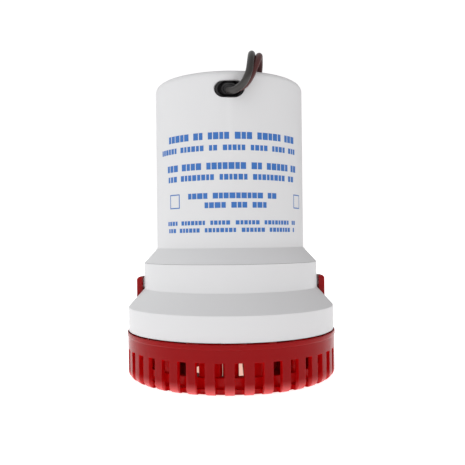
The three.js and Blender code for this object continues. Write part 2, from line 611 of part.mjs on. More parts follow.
// ---------------------------------------------------------------- leads inside the cap
const INNER_LEAD_D = 2;
const INNER_BLACK_ROUTE = [
  [-24, 3.0, 127.2], [-24.2, 0.5, 131], [-22, -8, 134.5], [-15, -19, 137.5], [-7, -27, 140.0],
  [-2.4, -31.6, 141.2],
];
const INNER_BROWN_ROUTE = [
  [24, 3.0, 127.2], [24.2, 0.5, 131], [21, -8, 134.5], [13, -19, 137.5], [4.8, -27, 139.0],
  [0.9, -31.6, 138.6],
];
piece('inner_lead_black', leadTube(INNER_BLACK_ROUTE, 10, INNER_LEAD_D), LEAD_BLACK);
piece('inner_lead_brown', leadTube(INNER_BROWN_ROUTE, 10, INNER_LEAD_D), LEAD_BROWN);

export default assembly;
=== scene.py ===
"""A bilge pump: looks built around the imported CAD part.

Lengths in this script are millimetres in the part's own frame, and new_mesh() turns them into metres.
The part stands on z = 0, its front faces -Y, and its discharge nozzle points along +Y.
"""

import json
import math

import bmesh
import bpy
from mathutils import Matrix, Vector


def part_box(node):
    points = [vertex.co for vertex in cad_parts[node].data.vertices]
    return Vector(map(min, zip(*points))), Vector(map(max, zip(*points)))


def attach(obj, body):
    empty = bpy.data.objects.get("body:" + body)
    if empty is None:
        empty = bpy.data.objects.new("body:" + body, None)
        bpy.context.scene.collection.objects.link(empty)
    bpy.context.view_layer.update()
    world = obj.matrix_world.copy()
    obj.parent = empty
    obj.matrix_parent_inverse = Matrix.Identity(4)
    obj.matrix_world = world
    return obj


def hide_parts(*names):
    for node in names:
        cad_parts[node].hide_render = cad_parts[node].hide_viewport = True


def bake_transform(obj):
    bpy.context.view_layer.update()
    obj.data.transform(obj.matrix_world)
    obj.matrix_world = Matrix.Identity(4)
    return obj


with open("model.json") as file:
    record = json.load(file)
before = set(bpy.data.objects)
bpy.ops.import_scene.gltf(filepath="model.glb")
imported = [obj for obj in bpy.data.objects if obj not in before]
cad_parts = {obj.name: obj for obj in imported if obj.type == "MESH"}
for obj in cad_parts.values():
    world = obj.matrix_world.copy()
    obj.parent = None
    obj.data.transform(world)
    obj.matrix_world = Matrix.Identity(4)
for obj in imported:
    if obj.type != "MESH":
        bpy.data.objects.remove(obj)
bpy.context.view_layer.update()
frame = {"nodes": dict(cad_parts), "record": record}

MM = 0.001
TAU = 2 * math.pi


def box_mm(node):
    """Lowest and highest corner of a CAD node, in millimetres."""
    low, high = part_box(node)
    return low / MM, high / MM


# ------------------------------------------------------------------ sizes taken from the frame
cap_low, cap_high = box_mm("motor_cap")
body_low, body_high = box_mm("pump_body")
basket_high = box_mm("strainer_basket")[1]
nozzle_low, nozzle_high = box_mm("discharge_nozzle")
plate_low, plate_high = box_mm("inlet_plate")
coil_low, coil_high = box_mm("lead_coil")

CAP_TOP = cap_high.z
CAP_R = 38.4
CAP_WALL = 2.5
MID_R = cap_high.x
SKIRT_R = body_high.x
SHELL_WALL = 2.5
FLARE1_TOP = 65.6
FLARE1_BOTTOM = 58.2
FLARE2_TOP = 45.0
FLARE2_BOTTOM = 35.7
BODY_BOTTOM = body_low.z
BODY_TOP = FLARE1_BOTTOM - 0.04

# ------------------------------------------------------------------ camera
EYE_HEIGHT = 68.1
CAMERA_DISTANCE = 310.4
FOCAL_LENGTH = 45.2
SENSOR_WIDTH = 36.0
CAMERA_ROLL = math.radians(0.62)
SHIFT_X = 0.0048
SHIFT_Y = 0.0222


def add_camera():
    data = bpy.data.cameras.new("camera")
    data.lens = FOCAL_LENGTH
    data.sensor_width = SENSOR_WIDTH
    data.shift_x = SHIFT_X
    data.shift_y = SHIFT_Y
    data.clip_start = 0.01
    camera = bpy.data.objects.new("camera", data)
    camera.location = (0, -CAMERA_DISTANCE * MM, EYE_HEIGHT * MM)
    camera.rotation_euler = (math.pi / 2, CAMERA_ROLL, 0)
    bpy.context.scene.collection.objects.link(camera)
    bpy.context.scene.camera = camera


add_camera()


# ------------------------------------------------------------------ materials
def srgb(r, g, b):
    """A linear colour from 0-255 sRGB values."""
    def linear(value):
        value /= 255
        return value / 12.92 if value <= 0.04045 else ((value + 0.055) / 1.055) ** 2.4
    return (linear(r), linear(g), linear(b), 1.0)


# The floor's light painted on the strainer's foot fades in between these two distances from the part's
# origin.
FLOOR_LIGHT_R = (51.0, 52.2)


def map_range(tree, value, start, end, low=0.0, high=1.0, kind="LINEAR"):
    """The value's output, mapped from start and end to low and high."""
    node = tree.nodes.new("ShaderNodeMapRange")
    node.interpolation_type = kind
    for key, number in (("From Min", start), ("From Max", end), ("To Min", low), ("To Max", high)):
        node.inputs[key].default_value = number
    tree.links.new(value, node.inputs["Value"])
    return node.outputs["Result"]


def mix_color(tree, factor, a, b):
    """A mix of two colours. Each is four numbers or a node's output."""
    node = tree.nodes.new("ShaderNodeMix")
    node.data_type = "RGBA"
    tree.links.new(factor, node.inputs["Factor"])
    for key, color in (("A", a), ("B", b)):
        if isinstance(color, bpy.types.NodeSocket):
            tree.links.new(color, node.inputs[key])
        else:
            node.inputs[key].default_value = color
    return node.outputs["Result"]


def multiply(tree, a, b):
    node = tree.nodes.new("ShaderNodeMath")
    node.operation = "MULTIPLY"
    tree.links.new(a, node.inputs[0])
    tree.links.new(b, node.inputs[1])
    return node.outputs["Value"]


def vector_length(tree, vector):
    node = tree.nodes.new("ShaderNodeVectorMath")
    node.operation = "LENGTH"
    tree.links.new(vector, node.inputs[0])
    return node.outputs["Value"]


def noise(tree, vector, scale, detail):
    node = tree.nodes.new("ShaderNodeTexNoise")
    node.inputs["Scale"].default_value = scale
    node.inputs["Detail"].default_value = detail
    tree.links.new(vector, node.inputs["Vector"])
    return node.outputs["Fac"]


def painted_edge_highlights(tree, tinted, color, edge_highlight):
    """Paints highlights on convex edges: lightens their colour."""
    geometry = tree.nodes.new("ShaderNodeNewGeometry")
    edge = map_range(tree, geometry.outputs["Pointiness"], 0.52, 0.62, high=edge_highlight)
    return mix_color(tree, edge, tinted, [min(1, c * 1.25 + 0.03) for c in color[:3]] + [1])


def painted_floor_light(tree, tinted, position, foot, floor_light_mm):
    """Paints the floor's light on the foot: fades to the foot's colour from the upper to the lower of two
    heights, on the outside only.
    """
    height = tree.nodes.new("ShaderNodeSeparateXYZ")
    tree.links.new(position, height.inputs["Vector"])
    low = map_range(tree, height.outputs["Z"], floor_light_mm[1] * MM, floor_light_mm[0] * MM, kind="SMOOTHSTEP")
    outside = map_range(tree, vector_length(tree, position), FLOOR_LIGHT_R[0] * MM, FLOOR_LIGHT_R[1] * MM)
    return mix_color(tree, multiply(tree, low, outside), tinted, foot)


def painted_hollow_light_and_shade(tree, tinted, recess, painted_hollow_mm, only_local):
    """Paints light and shade into hollows: fades to the recess colour where surfaces within painted_hollow_mm
    close a place in.
    """
    openness = tree.nodes.new("ShaderNodeAmbientOcclusion")
    openness.samples = 8
    openness.only_local = only_local
    openness.inputs["Distance"].default_value = painted_hollow_mm * MM
    return mix_color(tree, map_range(tree, openness.outputs["AO"], 0.75, 0.25), tinted, recess)


def surface(name, color, roughness, metallic=0.0, grain=0.04, grain_scale=900, bump=0.02, bump_scale=2500,
            stretch=(1, 1, 1), subsurface=0.0, subsurface_mm=1.0, coat=0.0, edge_highlight=0.0, specular=0.5,
            recess=None, painted_hollow_mm=12.0, painted_hollow_local=False, foot=None, floor_light_mm=(0.0, 0.0)):
    """A procedural material: mottled colour and roughness and a fine bump.

    edge_highlight paints highlights on convex edges, recess is a colour painted deep in hollows (painted
    shade where it is darker, painted light where it is lighter), and foot is a colour of the floor's light
    painted on the foot between the two heights floor_light_mm."""
    material = bpy.data.materials.new(name)
    material.use_nodes = True
    tree = material.node_tree
    shader = tree.nodes["Principled BSDF"]
    coords = tree.nodes.new("ShaderNodeTexCoord")
    mapping = tree.nodes.new("ShaderNodeMapping")
    mapping.inputs["Scale"].default_value = stretch
    tree.links.new(coords.outputs["Object"], mapping.inputs["Vector"])

    mottle = noise(tree, mapping.outputs["Vector"], grain_scale / 10, 6)
    darker = [c * (1 - grain) for c in color[:3]] + [1]
    lighter = [min(1, c * (1 + grain)) for c in color[:3]] + [1]
    tinted = mix_color(tree, mottle, darker, lighter)
    if edge_highlight:
        tinted = painted_edge_highlights(tree, tinted, color, edge_highlight)
    if foot:
        tinted = painted_floor_light(tree, tinted, coords.outputs["Object"], foot, floor_light_mm)
    if recess:
        tinted = painted_hollow_light_and_shade(tree, tinted, recess, painted_hollow_mm, painted_hollow_local)
    tree.links.new(tinted, shader.inputs["Base Color"])

    rough = map_range(tree, mottle, 0, 1, max(0.02, roughness - 0.06), min(1, roughness + 0.06))
    tree.links.new(rough, shader.inputs["Roughness"])

    bumps = tree.nodes.new("ShaderNodeBump")
    bumps.inputs["Strength"].default_value = 1.0
    bumps.inputs["Distance"].default_value = bump * MM
    tree.links.new(noise(tree, mapping.outputs["Vector"], bump_scale, 3), bumps.inputs["Height"])
    tree.links.new(bumps.outputs["Normal"], shader.inputs["Normal"])

    strongest = max(color[:3])
    values = {
        "Metallic": metallic,
        "Specular IOR Level": specular,
        "Subsurface Weight": subsurface,
        "Subsurface Scale": subsurface_mm * MM,
        "Subsurface Radius": [max(0.05, c / strongest) for c in color[:3]],
        "Coat Weight": coat,
        "Coat Roughness": 0.2,
    }
    for key, value in values.items():
        shader.inputs[key].default_value = value
    return material


# Housing: the recess colour is painted shade in creases and round the grommet's hole, and edge_highlight
# paints highlights on convex edges.
HOUSING = surface("housing_plastic", srgb(222, 222, 223), 0.42, grain=0.012, grain_scale=400, bump=0.012,
                  bump_scale=1400, subsurface=0.15, subsurface_mm=0.8, edge_highlight=0.25, specular=0.35,
                  recess=srgb(112, 108, 110), painted_hollow_mm=4)
# Strainer: the bright recess red is painted light inside the basket, the foot colour is the floor's light
# painted on the foot, and edge_highlight paints highlights on convex edges.
RED = surface("strainer_plastic", srgb(150, 10, 14), 0.22, grain=0.06, grain_scale=500, bump=0.01,
              bump_scale=1600, subsurface=0.45, subsurface_mm=2.5, edge_highlight=0.3, specular=0.1,
              recess=srgb(234, 7, 12), painted_hollow_mm=25, painted_hollow_local=True,
              foot=srgb(212, 92, 92), floor_light_mm=(1.2, 6.0))
CREAM = surface("wet_end_plastic", srgb(232, 226, 212), 0.45, grain=0.02, bump=0.015, subsurface=0.15)
# Intake plate: the red recess colour is painted red light from the strainer round it, and it is on the
# plate's upper side too.
INTAKE = surface("intake_plastic", srgb(232, 226, 212), 0.45, grain=0.02, bump=0.015, subsurface=0.15,
                 recess=srgb(255, 26, 22), painted_hollow_mm=25)
RUBBER = surface("rubber", srgb(24, 23, 24), 0.36, grain=0.15, bump=0.02, bump_scale=3500)
STEEL = surface("stainless_steel", srgb(196, 198, 200), 0.28, metallic=1, grain=0.05, bump=0.006,
                stretch=(1, 1, 6))
CAN_STEEL = surface("motor_can_steel", srgb(176, 180, 184), 0.36, metallic=1, grain=0.08, bump=0.01,
                    stretch=(1, 1, 0.1))
PHENOLIC = surface("phenolic", srgb(86, 52, 34), 0.5, grain=0.2, grain_scale=2500, bump=0.03)
BRONZE = surface("bronze", srgb(178, 134, 78), 0.42, metallic=1, grain=0.14, grain_scale=3000, bump=0.02)
FERRITE = surface("ferrite", srgb(58, 56, 55), 0.66, grain=0.12, bump=0.03)
LAMINATION = surface("lamination", srgb(112, 114, 118), 0.45, metallic=0.9, grain=0.1, bump=0.05,
                     bump_scale=900, stretch=(0.05, 0.05, 3))
COPPER = surface("copper", srgb(196, 116, 70), 0.3, metallic=1, grain=0.1, bump=0.04, coat=0.4)
CARBON = surface("carbon", srgb(46, 46, 49), 0.55, grain=0.2, bump=0.03)
CERAMIC = surface("ceramic", srgb(186, 112, 44), 0.3, grain=0.08, bump=0.01, coat=0.5)
LEAD_BLACK = surface("lead_black_insulation", srgb(50, 47, 45), 0.3, grain=0.35, grain_scale=700, bump=0.02,
                     bump_scale=900, specular=0.45)
LEAD_BROWN = surface("lead_brown_insulation", srgb(80, 42, 41), 0.34, grain=0.2, bump=0.012, bump_scale=1200,
                     specular=0.3)
TINNED = surface("tinned_copper", srgb(206, 194, 176), 0.3, metallic=1, grain=0.1, bump=0.01)
NYLON = surface("tie_nylon", srgb(226, 222, 212), 0.45, grain=0.02, bump=0.01, subsurface=0.3)
INK = surface("print_ink", srgb(50, 110, 184), 0.5, grain=0.1, grain_scale=3000, bump=0.004)
FLOOR_BASE = (0.8, 0.8, 0.8, 1)
FLOOR = surface("floor", FLOOR_BASE, 0.9, grain=0.01, bump=0.0)
FLOOR_GLOW = 0.87
# The floor's glow and colour under the strainer are a painted warm shadow that fades out between the radii
# SHADE_R.
SHADE_COLOR = (0.99, 0.58, 0.47, 1)
SHADE_BASE = (0.1, 0.06, 0.05, 1)
SHADE_R = (46, 52)


def light_floor():
    """A glowing white floor, with a warm shadow painted into its glow and colour under the strainer."""
    tree = FLOOR.node_tree
    shader = tree.nodes["Principled BSDF"]
    shader.inputs["Specular IOR Level"].default_value = 0
    shader.inputs["Emission Strength"].default_value = FLOOR_GLOW
    coords = tree.nodes.new("ShaderNodeTexCoord")
    radius = vector_length(tree, coords.outputs["Object"])
    edge = map_range(tree, radius, SHADE_R[0] * MM, SHADE_R[1] * MM, kind="SMOOTHSTEP")
    tree.links.new(mix_color(tree, edge, SHADE_COLOR, (1, 1, 1, 1)), shader.inputs["Emission Color"])
    tree.links.new(mix_color(tree, edge, SHADE_BASE, FLOOR_BASE), shader.inputs["Base Color"])


light_floor()


# ------------------------------------------------------------------ mesh helpers
def new_mesh(name, points, faces):
    """A mesh object from points in millimetres."""
    mesh = bpy.data.meshes.new(name)
    mesh.from_pydata([Vector(p) * MM for p in points], [], faces)
    mesh.update()
    shape = bmesh.new()
    shape.from_mesh(mesh)
    bmesh.ops.recalc_face_normals(shape, faces=shape.faces)
    shape.to_mesh(mesh)
    shape.free()
    thing = bpy.data.objects.new(name, mesh)
    bpy.context.scene.collection.objects.link(thing)
    return thing


def rounded(points, radius, closed=True, steps=4):
    """The outline with its corners rounded. A point may have its own radius as a third number."""
    result = []
    count = len(points)
    for i, point in enumerate(points):
        here = Vector(point[:2])
        size = point[2] if len(point) > 2 else radius
        if size == 0 or (not closed and i in (0, count - 1)):
            result.append(tuple(here))
            continue
        to_last = Vector(points[i - 1][:2]) - here
        to_next = Vector(points[(i + 1) % count][:2]) - here
        angle = to_last.angle(to_next)
        if angle > math.radians(178):
            result.append(tuple(here))
            continue
        reach = min(size / math.tan(angle / 2), 0.45 * to_last.length, 0.45 * to_next.length)
        a = here + to_last.normalized() * reach
        b = here + to_next.normalized() * reach
        for k in range(steps + 1):
            t = k / steps
            result.append(tuple(a * (1 - t) ** 2 + here * 2 * t * (1 - t) + b * t * t))
    return result


def lathe(name, profile, segments=96):
    """A body of revolution about Z from [radius, z] points. It starts and ends on the axis, or closes."""
    points, faces, rows = [], [], []
    for r, z in profile:
        if r < 1e-6:
            rows.append([len(points)] * segments)
            points.append((0, 0, z))
            continue
        rows.append(list(range(len(points), len(points) + segments)))
        for k in range(segments):
            angle = TAU * k / segments
            points.append((r * math.cos(angle), r * math.sin(angle), z))
    pairs = list(zip(rows, rows[1:]))
    if profile[0][0] > 1e-6:
        pairs.append((rows[-1], rows[0]))
    for low, high in pairs:
        for k in range(segments):
            n = (k + 1) % segments
            corners = []
            for index in (low[k], low[n], high[n], high[k]):
                if index not in corners:
                    corners.append(index)
            if len(corners) > 2:
                faces.append(corners)
    return new_mesh(name, points, faces)


def prism(name, outline, bottom, top):
    """A prism with a flat outline in X and Y."""
    count = len(outline)
    points = [(x, y, bottom) for x, y in outline] + [(x, y, top) for x, y in outline]
    faces = [list(range(count))[::-1], list(range(count, 2 * count))]
    faces += [[k, (k + 1) % count, count + (k + 1) % count, count + k] for k in range(count)]
    return new_mesh(name, points, faces)


def block(name, low, high):
    return prism(name, [(low[0], low[1]), (high[0], low[1]), (high[0], high[1]), (low[0], high[1])],
                 low[2], high[2])


def place(thing, move=(0, 0, 0), turn=0.0, tilt=None):
    """Bakes a tilt about X or Y, a turn about Z in degrees and then a move in millimetres into the mesh."""
    matrix = Matrix.Translation(Vector(move) * MM) @ Matrix.Rotation(math.radians(turn), 4, "Z")
    if tilt:
        axis, degrees = tilt
        matrix = matrix @ Matrix.Rotation(math.radians(degrees), 4, axis)
    thing.data.transform(matrix)
    return thing


def around(r, degrees, z=0.0):
    return (r * math.cos(math.radians(degrees)), r * math.sin(math.radians(degrees)), z)


def apply_modifiers(thing):
    evaluated = thing.evaluated_get(bpy.context.evaluated_depsgraph_get())
    mesh = bpy.data.meshes.new_from_object(evaluated)
    old = thing.data
    thing.modifiers.clear()
    thing.data = mesh
    bpy.data.meshes.remove(old)
    return thing


def combine(thing, others, operation):
    """Joins others to thing, or cuts them from it, and removes them."""
    for other in others:
        modifier = thing.modifiers.new("boolean", "BOOLEAN")
        modifier.operation = operation
        modifier.solver = "EXACT"
        modifier.object = other
        apply_modifiers(thing)
        bpy.data.objects.remove(other)
    return thing


def add(thing, *others):
    return combine(thing, others, "UNION")


def cut(thing, *others):
    return combine(thing, others, "DIFFERENCE")


def clean(thing):
    shape = bmesh.new()
    shape.from_mesh(thing.data)
    bmesh.ops.remove_doubles(shape, verts=shape.verts, dist=1e-6)
    bmesh.ops.dissolve_degenerate(shape, edges=shape.edges, dist=1e-6)
    bmesh.ops.holes_fill(shape, edges=[e for e in shape.edges if e.is_boundary])
    bmesh.ops.recalc_face_normals(shape, faces=shape.faces)
    shape.to_mesh(thing.data)
    shape.free()
    return thing


def soften(thing, width, angle=40, segments=2):
    """Bevels every edge sharper than the angle."""
    modifier = thing.modifiers.new("bevel", "BEVEL")
    modifier.width = width * MM
    modifier.segments = segments
    modifier.limit_method = "ANGLE"
    modifier.angle_limit = math.radians(angle)
    return apply_modifiers(thing)


def smooth(thing, angle=35):
    """Smooth shading that breaks at edges sharper than the angle."""
    shape = bmesh.new()
    shape.from_mesh(thing.data)
    limit = math.radians(angle)
    for face in shape.faces:
        face.smooth = True
    for edge in shape.edges:
        edge.smooth = len(edge.link_faces) == 2 and edge.calc_face_angle(0) < limit
    shape.to_mesh(thing.data)
    shape.free()
    modifier = thing.modifiers.new("normals", "WEIGHTED_NORMAL")
    modifier.keep_sharp = True
    return apply_modifiers(thing)


def piece(thing, material, body, replaced=(), angle=35):
    """Finishes an object as one piece of the pump."""
    smooth(clean(thing), angle)
    thing.data.materials.clear()
    thing.data.materials.append(material)
    if replaced:
        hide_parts(*replaced)
    if body:
        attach(thing, body)
    return thing


# ------------------------------------------------------------------ supply leads
LEAD_D = 3.3
LEAD_BLACK_ROUTE = [
    (0.9, -39.3, 139.0), (2.7, -41.7, 138.5), (4.6, -43.9, 139.1), (6.7, -45.2, 140.5),
    (8.2, -45.8, 142.9), (9.4, -45.4, 146.1), (10.0, -44.1, 149.7), (10.4, -42.1, 152.9),
    (10.8, -38.7, 155.7), (11.2, -34.0, 156.8), (11.5, -28.8, 155.9), (11.6, -22.8, 153.4),
    (11.4, -16.0, 151.4), (9.8, -6.0, 151.0), (6.6, 8.0, 151.0), (2.8, 21.0, 151.0),
    (-1.0, 31.6, 151.4), (-3.2, 37.6, 151.2), (-4.6, 41.0, 148.6), (-5.4, 42.0, 142.0),
    (-6.6, 41.8, 124.0), (-8.2, 41.8, 102.0), (-9.4, 43.6, 81.0), (-10.4, 48.2, 62.0),
    (-11.4, 53.4, 46.0), (-12.4, 57.2, 32.0), (-12.8, 59.0, 20.0), (-12.2, 59.8, 10.6),
    (-10.2, 60.9, 4.0),
]
LEAD_BROWN_ROUTE = [
    (5.0, -39.1, 140.1), (6.3, -40.4, 140.4), (7.7, -41.5, 141.2), (9.0, -42.1, 142.6),
    (10.3, -42.2, 144.7), (11.5, -41.7, 147.5), (12.7, -40.3, 150.6), (13.7, -38.1, 153.6),
    (14.5, -34.8, 156.0), (14.9, -30.2, 156.6), (15.2, -23.4, 153.9), (14.9, -15.6, 151.4),
    (13.3, -5.0, 151.0), (10.0, 9.0, 151.0), (6.2, 22.0, 151.0), (2.4, 32.4, 151.3),
    (0.2, 38.0, 151.0), (-1.2, 41.4, 148.6), (-2.0, 42.4, 142.0), (-3.2, 42.2, 124.0),
    (-4.8, 42.2, 102.0), (-6.0, 44.0, 81.0), (-7.0, 48.6, 62.0), (-8.0, 53.8, 46.0),
    (-9.0, 57.6, 32.0), (-9.4, 59.4, 21.0), (-9.4, 61.0, 13.6), (-8.8, 64.6, 9.8),
]
COIL_CENTRE = (coil_low + coil_high) / 2
COIL_OUTER = (coil_high.x - coil_low.x) / 2 - LEAD_D / 2
COIL_HOLE_R = 10.2
COIL_INNER = COIL_HOLE_R + LEAD_D / 2
COIL_END_R = 5.0
COIL_TURNS = 4
COIL_END_GAP = 1.0
LAYER_GAP = 0.05
BLACK_END_DEGREES = 14
BROWN_END_DEGREES = 194
IN_RUBBER = 1.8
STRANDS_LENGTH = 6.3
STRANDS_BACK = 3.3
STRANDS_R = 1.0


def ease(t):
    t = min(1.0, max(0.0, t))
    return t * t * (3 - 2 * t)


def coil_points(start, layer_z, end_degrees, end_z):
    """The turns of one lead, from the route's last point inwards to the middle of the coil."""
    from_centre = Vector(start) - COIL_CENTRE
    first = math.degrees(math.atan2(from_centre.y, from_centre.x))
    first_r = math.hypot(from_centre.x, from_centre.y)
    lead_in, lead_out, step = 70, 130, 20
    sweep = end_degrees - first
    count = round(sweep / step)
    points = []
    for k in range(1, count + 1):
        swept = sweep * k / count
        coiled = min(1.0, max(0.0, (swept - lead_in / 2) / (sweep - lead_in / 2 - lead_out)))
        r = COIL_OUTER + (COIL_INNER - COIL_OUTER) * coiled
        r += (first_r - COIL_OUTER) * (1 - ease(swept / lead_in))
        ending = ease((swept - (sweep - lead_out)) / lead_out)
        r += (COIL_END_R - COIL_INNER) * ending
        z = start[2] + (layer_z - start[2]) * ease(swept / lead_in)
        z += (end_z - layer_z) * ending
        points.append(tuple(Vector(around(r, first + swept, z)) + Vector((COIL_CENTRE.x, COIL_CENTRE.y, 0))))
    return points


def spline(points, spacing):
    """A smooth line through the points, with a sample about every spacing millimetres."""
    knots = [Vector(p) for p in points]
    knots = [2 * knots[0] - knots[1]] + knots + [2 * knots[-1] - knots[-2]]
    line = []
    for a, b, c, d in zip(knots, knots[1:], knots[2:], knots[3:]):
        ta = 0.0
        tb = ta + math.sqrt((b - a).length)
        tc = tb + math.sqrt((c - b).length)
        td = tc + math.sqrt((d - c).length)
        count = max(1, round((c - b).length / spacing))
        for k in range(count):
            t = tb + (tc - tb) * k / count
            ab = a * ((tb - t) / (tb - ta)) + b * ((t - ta) / (tb - ta))
            bc = b * ((tc - t) / (tc - tb)) + c * ((t - tb) / (tc - tb))
            cd = c * ((td - t) / (td - tc)) + d * ((t - tc) / (td - tc))
            abc = ab * ((tc - t) / (tc - ta)) + bc * ((t - ta) / (tc - ta))
            bcd = bc * ((td - t) / (td - tb)) + cd * ((t - tb) / (td - tb))
            line.append(abc * ((tc - t) / (tc - tb)) + bcd * ((t - tb) / (tc - tb)))
    return line + [knots[-2]]


def tube(name, line, radius, sides=16, wobble=None):
    """A closed tube along a line. wobble(k, angle) may scale the radius at sample k."""
    points, faces = [], []
    side = None
    for k, here in enumerate(line):
        ahead = (line[min(k + 1, len(line) - 1)] - line[max(k - 1, 0)]).normalized()
        if side is None:
            side = ahead.orthogonal().normalized()
        side = (side - ahead * side.dot(ahead)).normalized()
        other = ahead.cross(side)
        for n in range(sides):
            angle = TAU * n / sides
            r = radius * (wobble(k, angle) if wobble else 1)
            points.append(here + side * (r * math.cos(angle)) + other * (r * math.sin(angle)))
    for k in range(len(line) - 1):
        for n in range(sides):
            m = (n + 1) % sides
            faces.append([k * sides + n, k * sides + m, (k + 1) * sides + m, (k + 1) * sides + n])
    last = (len(line) - 1) * sides
    faces.append(list(range(sides))[::-1])
    faces.append(list(range(last, last + sides)))
    return new_mesh(name, points, faces)


def bare_end(name, node, degrees):
    """A twist of tinned strands through the middle of its CAD node."""
    low, high = box_mm(node)
    middle = (low + high) / 2
    along = Vector(around(1, degrees))
    line = [middle + along * (STRANDS_LENGTH * k / 24 - STRANDS_BACK) for k in range(25)]

    def strands(k, angle):
        return 0.86 + 0.14 * abs(math.cos(3.5 * (angle + 0.22 * k)))
    twist = tube(name, line, STRANDS_R, sides=42, wobble=strands)
    return piece(twist, TINNED, "strainer", [node], 60)


def supply_lead(name, route, coil, material, nodes):
    """One lead, from inside the rubber round to the middle of its coil, as one tube that is not attached to
    the pump or the strainer.
    """
    first, second = Vector(route[0]), Vector(route[1])
    in_rubber = tuple(first + (first - second).normalized() * IN_RUBBER)
    line = spline([in_rubber] + route + coil, 1.4)
    lead = tube(name, line, LEAD_D / 2)
    piece(lead, material, None, nodes, 60)
    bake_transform(lead)


def supply_leads():
    lower = coil_low.z + LEAD_D / 2
    upper = lower + LEAD_D + LAYER_GAP
    end_z = COIL_END_GAP + LEAD_D / 2
    turns = 360 * COIL_TURNS
    black_end = bare_end("lead_black_strands", "lead_black_end", BLACK_END_DEGREES + 90)
    brown_end = bare_end("lead_brown_strands", "lead_brown_end", BROWN_END_DEGREES + 90)
    black_coil = coil_points(LEAD_BLACK_ROUTE[-1], lower, BLACK_END_DEGREES + turns, end_z)
    brown_coil = coil_points(LEAD_BROWN_ROUTE[-1], upper, BROWN_END_DEGREES + turns, end_z)
    supply_lead("lead_black", LEAD_BLACK_ROUTE, black_coil, LEAD_BLACK,
                ["lead_black_run", "lead_coil"])
    supply_lead("lead_brown", LEAD_BROWN_ROUTE, brown_coil, LEAD_BROWN,
                ["lead_brown_run"])


supply_leads()


# ------------------------------------------------------------------ grommet and motor cap
GROMMET_X = 0.25
GROMMET_Z = 140.1
HOLE_LENGTH = 13.9
HOLE_HEIGHT = 7.5
EDGE_SIDE = 0.6
EDGE_ABOVE = 3.0
EDGE_DEPTH = 1.4
SOCKET_R = 40.2
SPIGOT_GAP = 0.3


def stadium(length, height, steps=14):
    half, r = (length - height) / 2, height / 2
    right = [around(r, -90 + 180 * k / steps) for k in range(steps + 1)]
    left = [around(r, 90 + 180 * k / steps) for k in range(steps + 1)]
    return [(x + half, y) for x, y, _ in right] + [(x - half, y) for x, y, _ in left]


def front_loft(name, rings):
    """A closed loft of stadium rings through the cap's front wall.

    Each ring is the inset from the hole's edge at the sides, below and above, and its depth under the
    cap's surface."""
    points, faces = [], []
    for side, below, above, depth in rings:
        for x, z in stadium(HOLE_LENGTH - 2 * side, HOLE_HEIGHT - below - above):
            x += GROMMET_X
            z += GROMMET_Z + (below - above) / 2
            points.append((x, -math.sqrt(CAP_R ** 2 - x * x) + depth, z))
    count = len(points) // len(rings)
    for k in range(len(rings) - 1):
        for n in range(count):
            m = (n + 1) % count
            faces.append([k * count + n, k * count + m, (k + 1) * count + m, (k + 1) * count + n])
    faces.append(list(range(count))[::-1])
    faces.append(list(range(len(points) - count, len(points))))
    return new_mesh(name, points, faces)


def motor_cap():
    inner = CAP_R - CAP_WALL
    spigot = MID_R - SHELL_WALL - SPIGOT_GAP
    bottom = cap_low.z
    ceiling = CAP_TOP - 2.6
    profile = rounded([
        (0, ceiling, 0), (inner, ceiling, 1.5), (inner, FLARE1_TOP - 1),
        (SOCKET_R, FLARE1_BOTTOM + 2), (SOCKET_R, bottom), (spigot, bottom),
        (spigot, FLARE1_BOTTOM, 0.2), (MID_R, FLARE1_BOTTOM, 0), (CAP_R, FLARE1_TOP, 0.6),
        (CAP_R, CAP_TOP, 3.2), (0, CAP_TOP, 0),
    ], 0.4, closed=False, steps=6)
    cap = lathe("motor_cap_shell", profile, 180)
    side, above = EDGE_SIDE + 0.1, EDGE_ABOVE + 0.2
    rings = [(-side, -side, -above, -0.8)]
    for angle in (0, 0.3, 0.6, 0.9, 1.2, math.pi / 2):
        left = 1 - math.sin(angle)
        side, above = EDGE_SIDE * left, EDGE_ABOVE * left
        rings.append((-side, -side, -above, EDGE_DEPTH * (1 - math.cos(angle))))
    rings.append((0, 0, 0, 6.0))
    cut(cap, front_loft("hole_cutter", rings))
    return piece(cap, HOUSING, "pump", ["motor_cap"], 30)


def grommet():
    rings = [
        (0.12, 0.12, 0.12, 5.6), (0.12, 0.12, 0.12, 1.1), (0.3, 0.2, 0.2, 0.75), (0.8, 0.32, 0.3, 0.55),
        (1.4, 0.45, 0.4, 0.7), (1.7, 0.55, 0.5, 1.3), (2.2, 0.7, 0.65, 1.9), (2.8, 0.82, 0.8, 1.5),
        (3.1, 0.92, 0.95, 0.6), (3.5, 1.1, 1.15, 0.15), (4.0, 1.45, 1.5, 0.2), (4.3, 1.8, 1.85, 0.55),
        (4.5, 2.2, 2.25, 0.75),
    ]
    plug = front_loft("grommet_rubber", rings)
    return piece(plug, RUBBER, "pump", ["grommet"], 50)


motor_cap()
grommet()


# ------------------------------------------------------------------ pump body and nozzle
CORE_R = 42.2
CHAMBER_BOTTOM = plate_high.z + 0.3
CEILING = 44.0
DECK = 46.5
LEDGE_BOTTOM = 50.2
LEDGE_TOP = 53.6
SHOULDER_TOP = 44.2
SHOULDER_BOTTOM = 34.4
SEAL = {"hole_r": 4, "pocket_r": 8, "outer_r": 10.5, "floor": 47.6, "top": 54}
LATCH_CHANNEL = {"inner": 42.5, "outer": 50.2, "half_width": 6.6, "top": 52.4}
BACKING = {"inner": 40.5, "outer": MID_R - 1.2, "half_width": 8.6}
CHAMBER = {"start_r": 31, "growth": 7, "start_degrees": 50, "end_y": 31}
NOZZLE_X = (nozzle_low.x + nozzle_high.x) / 2
NOZZLE_Z = (nozzle_low.z + nozzle_high.z) / 2
NOZZLE_END = nozzle_high.y
BOSS_R = 14.0
BOSS_START = 26.0
BOSS_END = 56.0
